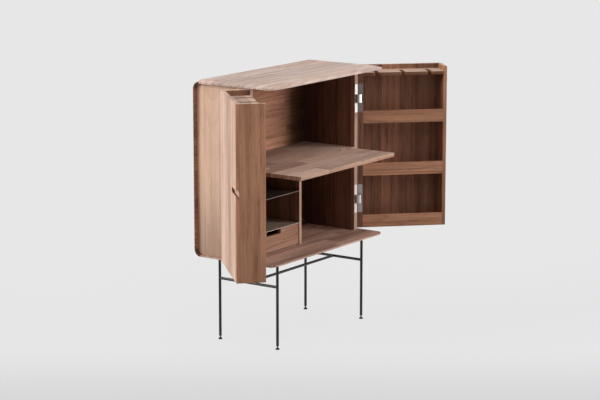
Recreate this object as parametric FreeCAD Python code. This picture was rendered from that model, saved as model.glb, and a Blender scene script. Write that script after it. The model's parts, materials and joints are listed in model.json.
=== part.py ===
import FreeCAD, Part
import math
import os

# Bar cabinet with two deep doors and a fold out shelf.
# Millimetres, +Z up, the front looks along -Y, the floor is at Z = 0.
# It is built round the middle of the shell and moved at the end, so that the
# origin lies on the floor under the middle of the open cabinet.

# Shell
SHELL_WIDTH = 1000.0
SHELL_DEPTH = 496.0
SHELL_HEIGHT = 904.5
SHELL_THICK = 18.0
SHELL_CLEAR_HEIGHT = 438.0
REAR_CORNER_R = 45.0
FRONT_CORNER_R = 40.0
EDGE_THICK = 8.7
BEVEL_WIDTH = 33.0

# Carcass inside the shell
SIDE_THICK = 30.0
SIDE_INSET = 20.0
SIDE_DEPTH = 324.0
EDGE_EASE = 1.5
SHELF_RISE = 447.0
SHELF_THICK = 20.0
SHELF_TONGUE = 8.0
TONGUE_STOP = 14.0
DIVIDER_THICK = 20.0
DIVIDER_SETBACK = 32.0
THIN_SHELF_THICK = 2.5
THIN_SHELF_TONGUE = 6.0
UPPER_THIN_RISE = 279.5
LOWER_THIN_RISE = 113.5

# Doors
DOOR_OPEN_DEG = 134.5
DOOR_DEPTH = 142.0
DOOR_GAP = 2.0
CENTRE_GAP = 2.0
DOOR_TOP_GAP = 5.0
DOOR_BOTTOM_GAP = 8.0
DOOR_SKIN = 18.0
HINGE_WALL = 30.0
FREE_WALL = 18.0
DOOR_SHELF_THICK = 15.0
DOOR_SHELF_PITCH = 280.0
DOOR_SHELF_COUNT = 3
RAIL_HEIGHT = 66.0
RAIL_THICK = 15.0
RAIL_EASE = 2.0
RACK_THICK = 17.0
RACK_DROP = 26.5
SLOT_WIDTH = 22.0
SLOT_LENGTH = 92.0
SLOT_PITCH = 142.5
SLOT_COUNT = 3
SLOT_MOUTH_R = 10.0
PULL_LENGTH = 130.0
PULL_MOUTH = 24.0
PULL_WIDTH = 54.0
PULL_DEPTH = 14.0
PULL_RISE = 431.0

# Concealed door hinges
HINGE_END_DISTANCE = 159.0
LEAF_HEIGHT = 150.0
LEAF_WIDTH = 24.0
LEAF_MARGIN = 2.5
LEAF_PLATE = 4.0
LEAF_CORNER_R = 4.0
HOUSING_HEIGHT = 50.0
HOUSING_DEPTH = 27.0
LEAF_WALL = 1.0
LINK_INNER_R = 15.0
LINK_OUTER_R = 24.0
LINK_HEIGHT = 44.0
LINK_PLAY = 0.4
LINK_GROOVE = 1.5
LINK_GROOVE_WIDTH = 2.0
LINK_PLATES = 4
HINGE_SCREW_NEAR = 38.0
HINGE_SCREW_FAR = 62.0

# Screws
SCREW_HEAD_R = 4.2
SCREW_SHANK_R = 2.0
SCREW_LENGTH = 24.0
SMALL_HEAD_R = 3.0
SMALL_SHANK_R = 1.5
SMALL_LENGTH = 14.0
SCREW_PLAY = 0.05

# Fold out shelf and its hinges
FLAP_SIDE_GAP = 26.0
FLAP_LENGTH = 266.8
FLAP_PLAY = 0.2
FLAP_AXIS_RISE = 0.4
FLAP_CORNER_R = 6.0
FLAP_EASE = 1.2
FLAP_HINGE_INSET = 79.0
FLAP_HINGE_LENGTH = 56.0
FLAP_LEAF_REACH = 20.0
FLAP_LEAF_THICK = 2.0
KNUCKLE_R = 3.2
KNUCKLE_LENGTH = 18.0
KNUCKLE_PLAY = 0.3
FLAP_PIN_R = 1.5
PIN_PLAY = 0.05

# Drawer
DRAWER_PLAY = 2.0
DRAWER_SETBACK = 4.0
DRAWER_FLOOR_GAP = 4.0
DRAWER_FRONT_THICK = 18.0
DRAWER_FRONT_EASE = 1.2
DRAWER_LENGTH = 258.0
DRAWER_SIDE_THICK = 14.0
DRAWER_SIDE_HEIGHT = 88.0
DRAWER_SIDE_LIFT = 6.0
DRAWER_SIDE_PLAY = 1.0
DRAWER_BACK_THICK = 12.0
DRAWER_BOTTOM_THICK = 6.0
DRAWER_BOTTOM_LIFT = 8.0
DRAWER_BOTTOM_TONGUE = 5.0
CUTOUT_WIDTH = 121.0
CUTOUT_DEPTH = 25.5
CUTOUT_R = 3.0
RUNNER_WIDTH = 9.0
RUNNER_HEIGHT = 12.0
RUNNER_LENGTH = 240.0
RUNNER_LIFT = 44.0
RUNNER_PLAY = 0.3

# Leg frame
LEG_R = 7.0
LEG_END_INSET = 120.2
LEG_REAR_INSET = 77.0
LEG_FRONT_INSET = 60.2
LEG_PLATE = 50.0
LEG_PLATE_THICK = 4.0
LEG_PLATE_HOLE = 17.0
LEG_PLATE_CORNER_R = 6.0
STRETCHER_R = 7.0
STRETCHER_DROP = 118.5
WELD_GAP = 0.05
PLATE_SCREW_LENGTH = 16.0
LEG_END_EASE = 2.0
FOOT_R = 10.5
FOOT_RIM = 3.0
FOOT_CONE_HEIGHT = 8.0
FOOT_NECK = 6.0
FOOT_STEM_R = 3.2
FOOT_STEM_LENGTH = 32.0
FOOT_STEM_PLAY = 0.05
FOOT_BORE_EXTRA = 4.0

V = FreeCAD.Vector
X = V(1, 0, 0)
Y = V(0, 1, 0)
Z = V(0, 0, 1)

# Places that follow from the sizes above
x_end = SHELL_WIDTH / 2
y_front = -SHELL_DEPTH / 2
y_back = SHELL_DEPTH / 2
y_in = y_back - SHELL_THICK
z_under = SHELL_CLEAR_HEIGHT
z_floor = z_under + SHELL_THICK
z_top = z_under + SHELL_HEIGHT
z_ceiling = z_top - SHELL_THICK
rear_in_r = REAR_CORNER_R - SHELL_THICK
y_rear_axis = y_back - REAR_CORNER_R
x_side = x_end - SIDE_INSET
x_side_in = x_side - SIDE_THICK
y_side = y_in - SIDE_DEPTH
z_shelf = z_floor + SHELF_RISE
z_shelf_under = z_shelf - SHELF_THICK
z_upper_thin = z_floor + UPPER_THIN_RISE
z_lower_thin = z_floor + LOWER_THIN_RISE
y_divider = y_side + DIVIDER_SETBACK

x_axis = -x_side
y_axis = y_side - DOOR_GAP / 2
door_y_in = y_side - DOOR_GAP
door_y_out = door_y_in - DOOR_DEPTH
door_x_free = -CENTRE_GAP / 2
door_z0 = z_floor + DOOR_BOTTOM_GAP
door_z1 = z_ceiling - DOOR_TOP_GAP
z_pull = door_z0 + PULL_RISE
z_stretcher = z_under - STRETCHER_DROP
hinge_heights = [door_z0 + HINGE_END_DISTANCE, door_z1 - HINGE_END_DISTANCE]

nodes = {}


def block(x0, x1, y0, y1, z0, z1):
    return Part.makeBox(x1 - x0, y1 - y0, z1 - z0, V(x0, y0, z0))


def prism(points, reach):
    wire = Part.makePolygon(points + [points[0]])
    return Part.Face(wire).extrude(reach)


def solid(shape):
    return shape.removeSplitter().Solids[0]


def cut(shape, *tools):
    return solid(shape.cut(list(tools)))


def join(shape, *others):
    return solid(shape.fuse(list(others)))


def mirrored(shape):
    return shape.mirror(V(0, 0, 0), X)


def arc(a, centre, b):
    radius = (a - centre).Length
    middle = (a + b) * 0.5 - centre
    return Part.Arc(a, centre + middle.normalize() * radius, b).toShape()


def near(a, b):
    return abs(a - b) < 1e-6


def edges_along(shape, axis, y=None, z=None):
    found = []
    for e in shape.Edges:
        a = e.Vertexes[0].Point
        way = e.Vertexes[-1].Point - a
        if way.Length < 1e-6 or way.cross(axis).Length > 1e-6:
            continue
        if (y is None or near(a.y, y)) and (z is None or near(a.z, z)):
            found.append(e)
    return found


def face_edges(shape, y):
    return [e for e in shape.Edges if all(near(v.Point.y, y) for v in e.Vertexes)]


def screw(at, into, head_r, shank_r, length, play=0.0):
    sink = head_r - shank_r
    head = Part.makeCone(head_r + play, shank_r + play, sink, at, into)
    shank = Part.makeCylinder(shank_r + play, length + play, at, into)
    return join(head, shank)


# Shell: the outline of a panel's plan at one height of its bevelled edge
def panel_outline(half, front, radius, z):
    a = V(-half, y_rear_axis, z)
    b = V(-half, front + radius, z)
    c = V(-half + radius, front, z)
    d = V(half - radius, front, z)
    e = V(half, front + radius, z)
    f = V(half, y_rear_axis, z)
    left = V(-half + radius, front + radius, z)
    right = V(half - radius, front + radius, z)
    line = Part.makeLine
    return Part.Wire([line(a, b), arc(b, left, c), line(c, d), arc(d, right, e), line(e, f), line(f, a)])


def shell_panel():
    low = panel_outline(x_end, y_front, FRONT_CORNER_R, 0)
    mid = panel_outline(x_end, y_front, FRONT_CORNER_R, EDGE_THICK)
    inner_r = max(FRONT_CORNER_R - BEVEL_WIDTH, 1.0)
    high = panel_outline(x_end - BEVEL_WIDTH, y_front + BEVEL_WIDTH, inner_r, SHELL_THICK)
    edge = Part.Face(low).extrude(V(0, 0, EDGE_THICK))
    bevel = Part.makeLoft([mid, high], True, True)
    return join(edge, bevel)


def shell_section(inner, place):
    x_flat = x_end - BEVEL_WIDTH
    outline = [(-x_end, 0), (x_end, 0), (x_end, EDGE_THICK)]
    outline += [(x_flat, SHELL_THICK), (-x_flat, SHELL_THICK), (-x_end, EDGE_THICK)]
    return [place(x, inner + t) for x, t in outline]


def rear_corner(z_axis, turn):
    points = shell_section(rear_in_r, lambda x, r: V(x, y_rear_axis + r, z_axis))
    face = Part.Face(Part.makePolygon(points + [points[0]]))
    return face.revolve(V(0, y_rear_axis, z_axis), X, turn).Solids[0]


top_panel = shell_panel()
top_panel.translate(V(0, 0, z_ceiling))
bottom_panel = shell_panel()
bottom_panel.rotate(V(0, 0, 0), Y, 180)
bottom_panel.translate(V(0, 0, z_floor))
z_low_axis = z_under + REAR_CORNER_R
z_high_axis = z_top - REAR_CORNER_R
back_points = shell_section(y_in, lambda x, y: V(x, y, z_low_axis))
back_panel = prism(back_points, V(0, 0, z_high_axis - z_low_axis))


# Upright boards that follow the rounded rear corners of the shell
def upright(x0, x1, front, z1, round_top):
    r = rear_in_r
    line = Part.makeLine
    a = V(x0, front, z_floor)
    b = V(x0, y_in - r, z_floor)
    c = V(x0, y_in, z_floor + r)
    edges = [line(a, b), arc(b, V(x0, y_in - r, z_floor + r), c)]
    e = V(x0, front, z1)
    if round_top:
        d0 = V(x0, y_in, z1 - r)
        d1 = V(x0, y_in - r, z1)
        edges += [line(c, d0), arc(d0, V(x0, y_in - r, z1 - r), d1), line(d1, e)]
    else:
        d = V(x0, y_in, z1)
        edges += [line(c, d), line(d, e)]
    edges.append(line(e, a))
    board = Part.Face(Part.Wire(edges)).extrude(V(x1 - x0, 0, 0))
    return board.makeFillet(EDGE_EASE, edges_along(board, Z, y=front))


left_side = upright(-x_side, -x_side_in, y_side, z_ceiling, True)
right_side = mirrored(left_side)
divider = upright(-DIVIDER_THICK / 2, DIVIDER_THICK / 2, y_divider, z_shelf_under, False)

# Fixed shelf, held in stopped grooves in the side panels
shelf_board = block(-x_side_in, x_side_in, y_side, y_in, z_shelf_under, z_shelf)
shelf_tongue = block(
    -x_side_in - SHELF_TONGUE, x_side_in + SHELF_TONGUE, y_side + TONGUE_STOP, y_in, z_shelf_under, z_shelf
)
fixed_shelf = join(shelf_board, shelf_tongue)
left_side = cut(left_side, shelf_tongue)
right_side = cut(right_side, shelf_tongue)


# Thin shelves of the left bay, held in the side panel and the divider
def thin_shelf(z):
    x0 = -x_side_in
    x1 = -DIVIDER_THICK / 2
    board = block(x0, x1, y_divider, y_in, z, z + THIN_SHELF_THICK)
    tongue = block(
        x0 - THIN_SHELF_TONGUE, x1 + THIN_SHELF_TONGUE, y_divider + TONGUE_STOP, y_in, z, z + THIN_SHELF_THICK
    )
    return board, tongue


upper_board, upper_tongue = thin_shelf(z_upper_thin)
lower_board, lower_tongue = thin_shelf(z_lower_thin)
upper_thin = join(upper_board, upper_tongue)
lower_thin = join(lower_board, lower_tongue)
left_side = cut(left_side, upper_tongue, lower_tongue)
divider = cut(divider, upper_tongue, lower_tongue)


# Concealed hinges, drawn on the left with the door shut.
# Both leaves and the link share the hinge line through (x_axis, y_axis).
# 'way' is +1 into the side panel and -1 into the door.
def ring(inner_r, outer_r, z0, z1):
    at = V(x_axis, y_axis, z0)
    return Part.makeCylinder(outer_r, z1 - z0, at).cut(Part.makeCylinder(inner_r, z1 - z0, at))


def between(y_a, y_b, x0, x1, z0, z1):
    return block(x0, x1, min(y_a, y_b), max(y_a, y_b), z0, z1)


def hinge_leaf(zc, face, way):
    x0 = x_axis + LEAF_MARGIN
    x1 = x0 + LEAF_WIDTH
    plate = between(face, face + way * LEAF_PLATE, x0, x1, zc - LEAF_HEIGHT / 2, zc + LEAF_HEIGHT / 2)
    plate = plate.makeFillet(LEAF_CORNER_R, edges_along(plate, Y))
    housing = between(
        face, face + way * HOUSING_DEPTH, x0, x1, zc - HOUSING_HEIGHT / 2, zc + HOUSING_HEIGHT / 2
    )
    body = join(plate, housing)
    half = LINK_HEIGHT / 2 + LINK_PLAY
    channel = ring(LINK_INNER_R - LINK_PLAY, LINK_OUTER_R + LINK_PLAY, zc - half, zc + half)
    reach = LINK_OUTER_R + LINK_PLAY
    keep = between(
        y_axis, y_axis + way * (reach + 1), x0 + LEAF_WALL, x_axis + reach, zc - half, zc + half
    )
    return body, cut(body, channel.common(keep))


def hinge_screws(zc, face, way, play=0.0):
    x = x_axis + LEAF_MARGIN + LEAF_WIDTH / 2
    out = []
    for dz in (-HINGE_SCREW_FAR, -HINGE_SCREW_NEAR, HINGE_SCREW_NEAR, HINGE_SCREW_FAR):
        at = V(x, face, zc + dz)
        out.append(screw(at, V(0, way, 0), SCREW_HEAD_R, SCREW_SHANK_R, SCREW_LENGTH, play))
    return out


def hinge_link(zc):
    half = LINK_HEIGHT / 2
    body = ring(LINK_INNER_R, LINK_OUTER_R, zc - half, zc + half)
    step = LINK_HEIGHT / LINK_PLATES
    for i in range(1, LINK_PLATES):
        z = zc - half + i * step
        body = body.cut(
            ring(LINK_OUTER_R - LINK_GROOVE, LINK_OUTER_R + 1, z - LINK_GROOVE_WIDTH / 2, z + LINK_GROOVE_WIDTH / 2)
        )
    x0 = x_axis + LEAF_MARGIN + LEAF_WALL + LINK_PLAY
    reach = LINK_OUTER_R + 1
    keep = block(x0, x_axis + reach, y_axis - reach, y_axis + reach, zc - half, zc + half)
    return solid(body.common(keep))


side_leaves = []
side_screws = []
door_leaves = []
door_screws = []
links = []
side_pockets = []
door_pockets = []
for zc in hinge_heights:
    pocket, leaf = hinge_leaf(zc, y_side, 1)
    holes = hinge_screws(zc, y_side, 1, SCREW_PLAY)
    side_leaves.append(cut(leaf, *holes))
    side_screws += hinge_screws(zc, y_side, 1)
    side_pockets += [pocket] + holes
    pocket, leaf = hinge_leaf(zc, door_y_in, -1)
    holes = hinge_screws(zc, door_y_in, -1, SCREW_PLAY)
    door_leaves.append(cut(leaf, *holes))
    door_screws += hinge_screws(zc, door_y_in, -1)
    door_pockets += [pocket] + holes
    links.append(hinge_link(zc))
left_side = cut(left_side, *side_pockets)
right_side = cut(right_side, *[mirrored(p) for p in side_pockets])

# Doors, drawn on the left and shut
y_skin = door_y_out + DOOR_SKIN
x_hinge_in = x_axis + HINGE_WALL
x_free_in = door_x_free - FREE_WALL
door_height = V(0, 0, door_z1 - door_z0)


def plan(points):
    return [V(x, y, door_z0) for x, y in points]


skin_plan = [(x_axis, door_y_out), (door_x_free, door_y_out), (x_free_in, y_skin), (x_axis, y_skin)]
free_plan = [(door_x_free, door_y_out), (door_x_free, door_y_in), (x_free_in, door_y_in), (x_free_in, y_skin)]


# Finger pull: a groove with undercut walls, open at the free edge and round at its far end
def finger_pull():
    x_end_centre = door_x_free - PULL_LENGTH + PULL_MOUTH / 2
    y_deep = door_y_out + PULL_DEPTH
    half_mouth = PULL_MOUTH / 2
    half_width = PULL_WIDTH / 2
    profile = [
        V(x_end_centre, door_y_out, z_pull - half_mouth),
        V(x_end_centre, y_deep, z_pull - half_width),
        V(x_end_centre, y_deep, z_pull + half_width),
        V(x_end_centre, door_y_out, z_pull + half_mouth),
    ]
    groove = prism(profile, V(door_x_free - x_end_centre, 0, 0))
    far_end = Part.makeCone(half_mouth, half_width, PULL_DEPTH, V(x_end_centre, door_y_out, z_pull), Y)
    return groove.fuse(far_end)


pull = finger_pull()
door_skin = cut(prism(plan(skin_plan), door_height), pull)
free_wall = prism(plan(free_plan), door_height)
free_wall = free_wall.makeFillet(EDGE_EASE, edges_along(free_wall, Z, y=door_y_in))
free_wall = cut(free_wall, pull)
hinge_wall = cut(block(x_axis, x_hinge_in, y_skin, door_y_in, door_z0, door_z1), *door_pockets)

y_rail = door_y_in - RAIL_THICK
door_shelves = []
door_rails = []
for i in range(DOOR_SHELF_COUNT):
    z = door_z0 + i * DOOR_SHELF_PITCH
    door_shelves.append(block(x_hinge_in, x_free_in, y_skin, y_rail, z, z + DOOR_SHELF_THICK))
    rail = block(x_hinge_in, x_free_in, y_rail, door_y_in, z, z + RAIL_HEIGHT)
    door_rails.append(rail.makeFillet(RAIL_EASE, edges_along(rail, X, z=z + RAIL_HEIGHT)))


def slot(x, z0, z1):
    half = SLOT_WIDTH / 2
    y_end = door_y_in - SLOT_LENGTH + half
    tall = z1 - z0
    out = block(x - half, x + half, y_end, door_y_in, z0, z1)
    out = out.fuse(Part.makeCylinder(half, tall, V(x, y_end, z0)))
    wide = half + SLOT_MOUTH_R
    flare = block(x - wide, x + wide, door_y_in - SLOT_MOUTH_R, door_y_in, z0, z1)
    for side in (-1, 1):
        flare = flare.cut(
            Part.makeCylinder(SLOT_MOUTH_R, tall, V(x + side * wide, door_y_in - SLOT_MOUTH_R, z0))
        )
    return out.fuse(flare)


rack_z1 = door_z1 - RACK_DROP
rack_z0 = rack_z1 - RACK_THICK
x_rack_middle = (x_hinge_in + x_free_in) / 2
rack = block(x_hinge_in, x_free_in, y_skin, door_y_in, rack_z0, rack_z1)
for i in range(SLOT_COUNT):
    x_slot = x_rack_middle + (i - (SLOT_COUNT - 1) / 2) * SLOT_PITCH
    rack = rack.cut(slot(x_slot, rack_z0, rack_z1))
rack = solid(rack)

door = {
    "outer_panel": [door_skin],
    "hinge_wall": [hinge_wall],
    "free_edge_wall": [free_wall],
    "bottom_shelf": [door_shelves[0]],
    "middle_shelf": [door_shelves[1]],
    "upper_shelf": [door_shelves[2]],
    "rails": door_rails,
    "glass_rack": [rack],
    "hinge_leaves": door_leaves,
    "hinge_screws": door_screws,
}


def swung(shape, degrees):
    moved = shape.copy()
    moved.rotate(V(x_axis, y_axis, 0), Z, -degrees)
    return moved


for name, shapes in door.items():
    opened = [swung(s, DOOR_OPEN_DEG) for s in shapes]
    nodes["left_door_" + name] = opened
    nodes["right_door_" + name] = [mirrored(s) for s in opened]
half_open = [swung(s, DOOR_OPEN_DEG / 2) for s in links]
nodes["left_hinge_links"] = half_open
nodes["right_hinge_links"] = [mirrored(s) for s in half_open]
nodes["cabinet_hinge_leaves"] = side_leaves + [mirrored(s) for s in side_leaves]
nodes["cabinet_hinge_screws"] = side_screws + [mirrored(s) for s in side_screws]

# Fold out shelf, unfolded, and its two hinges
flap_rear = y_side - FLAP_PLAY
flap_front = flap_rear - FLAP_LENGTH
flap_half = x_side_in - FLAP_SIDE_GAP
y_fold = y_side - FLAP_PLAY / 2
z_fold = z_shelf + FLAP_AXIS_RISE
flap = block(-flap_half, flap_half, flap_front, flap_rear, z_shelf_under, z_shelf)
flap = flap.makeFillet(FLAP_CORNER_R, edges_along(flap, Z, y=flap_front))


def level_edges(shape, z, y_rear):
    found = []
    for e in shape.Edges:
        a = e.Vertexes[0].Point
        b = e.Vertexes[-1].Point
        if near(a.z, z) and near(b.z, z) and not (near(a.y, y_rear) and near(b.y, y_rear)):
            found.append(e)
    return found


eased_edges = level_edges(flap, z_shelf, flap_rear) + level_edges(flap, z_shelf_under, flap_rear)
flap = flap.makeFillet(FLAP_EASE, eased_edges)


def flap_leaf(x0, way, spans):
    y0 = y_fold + way * (KNUCKLE_R + KNUCKLE_PLAY)
    y1 = y_fold + way * FLAP_LEAF_REACH
    z0 = z_shelf - FLAP_LEAF_THICK
    leaf = between(y0, y1, x0, x0 + FLAP_HINGE_LENGTH, z0, z_shelf)
    for a, b in spans:
        web = between(y_fold, y0, x0 + a, x0 + b, z0, z_shelf)
        knuckle = Part.makeCylinder(KNUCKLE_R, b - a, V(x0 + a, y_fold, z_fold), X)
        leaf = leaf.fuse([web, knuckle])
    bore = Part.makeCylinder(FLAP_PIN_R + PIN_PLAY, FLAP_HINGE_LENGTH, V(x0, y_fold, z_fold), X)
    return cut(leaf, bore), between(y_fold, y1, x0, x0 + FLAP_HINGE_LENGTH, z0, z_shelf)


def flap_screws(x0, way, play=0.0):
    y = y_fold + way * (FLAP_LEAF_REACH + KNUCKLE_R) / 2
    inset = FLAP_HINGE_LENGTH / 4
    out = []
    for x in (x0 + inset, x0 + FLAP_HINGE_LENGTH - inset):
        at = V(x, y, z_shelf)
        out.append(screw(at, V(0, 0, -1), SMALL_HEAD_R, SMALL_SHANK_R, SMALL_LENGTH, play))
    return out


shelf_leaves = []
flap_leaves = []
flap_pins = []
shelf_leaf_screws = []
flap_leaf_screws = []
last = FLAP_HINGE_LENGTH - KNUCKLE_LENGTH
hinge_reach = flap_half - FLAP_HINGE_INSET
for centre in (-hinge_reach, hinge_reach):
    x0 = centre - FLAP_HINGE_LENGTH / 2
    relief = Part.makeCylinder(KNUCKLE_R + KNUCKLE_PLAY, FLAP_HINGE_LENGTH, V(x0, y_fold, z_fold), X)
    leaf, seat = flap_leaf(x0, 1, [(0, KNUCKLE_LENGTH), (last, FLAP_HINGE_LENGTH)])
    holes = flap_screws(x0, 1, SCREW_PLAY)
    shelf_leaves.append(cut(leaf, *holes))
    fixed_shelf = cut(fixed_shelf, relief, seat, *holes)
    shelf_leaf_screws += flap_screws(x0, 1)
    leaf, seat = flap_leaf(x0, -1, [(KNUCKLE_LENGTH + KNUCKLE_PLAY, last - KNUCKLE_PLAY)])
    holes = flap_screws(x0, -1, SCREW_PLAY)
    flap_leaves.append(cut(leaf, *holes))
    flap = cut(flap, relief, seat, *holes)
    flap_leaf_screws += flap_screws(x0, -1)
    flap_pins.append(Part.makeCylinder(FLAP_PIN_R, FLAP_HINGE_LENGTH, V(x0, y_fold, z_fold), X))

# Drawer under the lower thin shelf
cell_x0 = -x_side_in
cell_x1 = -DIVIDER_THICK / 2
front_x0 = cell_x0 + DRAWER_PLAY
front_x1 = cell_x1 - DRAWER_PLAY
front_z0 = z_floor + DRAWER_FLOOR_GAP
front_z1 = z_lower_thin - DRAWER_PLAY
y_face = y_divider + DRAWER_SETBACK
y_box = y_face + DRAWER_FRONT_THICK
y_box_end = y_face + DRAWER_LENGTH
cutout_x = (front_x0 + front_x1) / 2
drawer_front = block(front_x0, front_x1, y_face, y_box, front_z0, front_z1)
drawer_front = drawer_front.makeFillet(DRAWER_FRONT_EASE, face_edges(drawer_front, y_face))
cutout = block(
    cutout_x - CUTOUT_WIDTH / 2, cutout_x + CUTOUT_WIDTH / 2, y_face, y_box, front_z1 - CUTOUT_DEPTH, front_z1
)
cutout = cutout.makeFillet(CUTOUT_R, edges_along(cutout, Y, z=front_z1 - CUTOUT_DEPTH))
drawer_front = cut(drawer_front, cutout)

side_z0 = front_z0 + DRAWER_SIDE_LIFT
side_z1 = side_z0 + DRAWER_SIDE_HEIGHT
left_x0 = cell_x0 + DRAWER_SIDE_PLAY
left_x1 = left_x0 + DRAWER_SIDE_THICK
right_x1 = cell_x1 - DRAWER_SIDE_PLAY
right_x0 = right_x1 - DRAWER_SIDE_THICK
bottom_z0 = side_z0 + DRAWER_BOTTOM_LIFT
bottom_z1 = bottom_z0 + DRAWER_BOTTOM_THICK
drawer_bottom = block(
    left_x1 - DRAWER_BOTTOM_TONGUE, right_x0 + DRAWER_BOTTOM_TONGUE, y_box, y_box_end, bottom_z0, bottom_z1
)
runner_z0 = z_floor + RUNNER_LIFT
runner_z1 = runner_z0 + RUNNER_HEIGHT
runner_y0 = y_box + DRAWER_SIDE_PLAY
left_runner = block(cell_x0, cell_x0 + RUNNER_WIDTH, runner_y0, runner_y0 + RUNNER_LENGTH, runner_z0, runner_z1)
right_runner = block(cell_x1 - RUNNER_WIDTH, cell_x1, runner_y0, runner_y0 + RUNNER_LENGTH, runner_z0, runner_z1)
groove_z0 = runner_z0 - RUNNER_PLAY
groove_z1 = runner_z1 + RUNNER_PLAY
left_groove = block(
    left_x0, cell_x0 + RUNNER_WIDTH + RUNNER_PLAY, y_box, y_box_end, groove_z0, groove_z1
)
right_groove = block(
    cell_x1 - RUNNER_WIDTH - RUNNER_PLAY, right_x1, y_box, y_box_end, groove_z0, groove_z1
)
left_drawer_side = cut(
    block(left_x0, left_x1, y_box, y_box_end, side_z0, side_z1), left_groove, drawer_bottom
)
right_drawer_side = cut(
    block(right_x0, right_x1, y_box, y_box_end, side_z0, side_z1), right_groove, drawer_bottom
)
drawer_back = block(left_x1, right_x0, y_box_end - DRAWER_BACK_THICK, y_box_end, bottom_z1, side_z1)

# Leg frame, with the plates under the bottom panel
plate_z0 = z_under - LEG_PLATE_THICK
foot_top = FOOT_RIM + FOOT_CONE_HEIGHT
leg_z0 = foot_top + FOOT_NECK
leg_x = x_end - LEG_END_INSET
leg_front = y_front + LEG_FRONT_INSET
leg_rear = y_back - LEG_REAR_INSET
leg_places = {
    "front_left": (-leg_x, leg_front),
    "front_right": (leg_x, leg_front),
    "rear_left": (-leg_x, leg_rear),
    "rear_right": (leg_x, leg_rear),
}
plates = []
plate_screws = []
bottom_holes = []
for name, (x, y) in leg_places.items():
    bore = Part.makeCylinder(FOOT_STEM_R + FOOT_STEM_PLAY, FOOT_STEM_LENGTH + FOOT_BORE_EXTRA, V(x, y, leg_z0))
    leg = Part.makeCylinder(LEG_R, plate_z0 - leg_z0, V(x, y, leg_z0))
    leg_end = [e for e in leg.Edges if all(near(v.Point.z, leg_z0) for v in e.Vertexes)]
    nodes[name + "_leg"] = [cut(leg.makeFillet(LEG_END_EASE, leg_end), bore)]
    rim = Part.makeCylinder(FOOT_R, FOOT_RIM, V(x, y, 0))
    cone = Part.makeCone(FOOT_R, FOOT_STEM_R, FOOT_CONE_HEIGHT, V(x, y, FOOT_RIM))
    stem = Part.makeCylinder(FOOT_STEM_R, FOOT_NECK + FOOT_STEM_LENGTH, V(x, y, foot_top))
    nodes[name + "_foot"] = [join(rim, cone, stem)]
    half = LEG_PLATE / 2
    plate = block(x - half, x + half, y - half, y + half, plate_z0, z_under)
    plate = plate.makeFillet(LEG_PLATE_CORNER_R, edges_along(plate, Z))
    holes = []
    for dx in (-LEG_PLATE_HOLE, LEG_PLATE_HOLE):
        for dy in (-LEG_PLATE_HOLE, LEG_PLATE_HOLE):
            at = V(x + dx, y + dy, plate_z0)
            holes.append(screw(at, Z, SCREW_HEAD_R, SCREW_SHANK_R, PLATE_SCREW_LENGTH, SCREW_PLAY))
            plate_screws.append(screw(at, Z, SCREW_HEAD_R, SCREW_SHANK_R, PLATE_SCREW_LENGTH))
    plates.append(cut(plate, *holes))
    bottom_holes += holes
bottom_panel = cut(bottom_panel, *bottom_holes)


def coped(p, q, posts):
    way = q - p
    bar = Part.makeCylinder(STRETCHER_R, way.Length, p, way)
    return cut(bar, *posts)


def post(x, y):
    return Part.makeCylinder(LEG_R + WELD_GAP, z_under, V(x, y, 0))


def side_stretcher(x):
    ends = [post(x, leg_front), post(x, leg_rear)]
    return coped(V(x, leg_front, z_stretcher), V(x, leg_rear, z_stretcher), ends)


leg_y_middle = (leg_front + leg_rear) / 2
side_tubes = []
for x in (-leg_x, leg_x):
    length = leg_rear - leg_front
    side_tubes.append(Part.makeCylinder(STRETCHER_R + WELD_GAP, length, V(x, leg_front, z_stretcher), Y))
long_from = V(-leg_x, leg_y_middle, z_stretcher)
long_to = V(leg_x, leg_y_middle, z_stretcher)

nodes["top_panel"] = [top_panel]
nodes["bottom_panel"] = [bottom_panel]
nodes["back_panel"] = [back_panel]
nodes["top_rear_corner"] = [rear_corner(z_high_axis, 90)]
nodes["bottom_rear_corner"] = [rear_corner(z_low_axis, -90)]
nodes["left_side_panel"] = [left_side]
nodes["right_side_panel"] = [right_side]
nodes["fixed_shelf"] = [fixed_shelf]
nodes["divider"] = [divider]
nodes["upper_thin_shelf"] = [upper_thin]
nodes["lower_thin_shelf"] = [lower_thin]
nodes["fold_out_shelf"] = [flap]
nodes["flap_hinge_shelf_leaves"] = shelf_leaves
nodes["flap_hinge_leaves"] = flap_leaves
nodes["flap_hinge_pins"] = flap_pins
nodes["flap_hinge_shelf_screws"] = shelf_leaf_screws
nodes["flap_hinge_screws"] = flap_leaf_screws
nodes["drawer_front"] = [drawer_front]
nodes["drawer_sides"] = [left_drawer_side, right_drawer_side]
nodes["drawer_back"] = [drawer_back]
nodes["drawer_bottom"] = [drawer_bottom]
nodes["drawer_runners"] = [left_runner, right_runner]
nodes["leg_plates"] = plates
nodes["leg_plate_screws"] = plate_screws
nodes["left_stretcher"] = [side_stretcher(-leg_x)]
nodes["right_stretcher"] = [side_stretcher(leg_x)]
nodes["long_stretcher"] = [coped(long_from, long_to, side_tubes)]

# The origin goes under the middle of the open cabinet
swing = math.radians(DOOR_OPEN_DEG)
tip_x = door_x_free - x_axis
tip_y = door_y_in - y_axis
reach_y = y_axis - tip_x * math.sin(swing) + tip_y * math.cos(swing)
shift = V(0, -(reach_y + y_back) / 2, 0)

os.makedirs("parts", exist_ok=True)
for name, shapes in nodes.items():
    for s in shapes:
        s.translate(shift)
    whole = shapes[0] if len(shapes) == 1 else Part.makeCompound(shapes)
    whole.exportStep("parts/" + name + ".step")
    good = all(s.isValid() and s.Volume > 0 for s in shapes)
    print(name, len(shapes), "solids", "valid" if good else "NOT VALID")
print("shift of the origin", round(shift.y, 4))
print("door hinge line", round(x_axis, 3), round(y_axis + shift.y, 3))
print("flap hinge line", round(y_fold + shift.y, 3), round(z_fold, 3))
print("nodes", len(nodes))
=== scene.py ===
import json
import math

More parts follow.
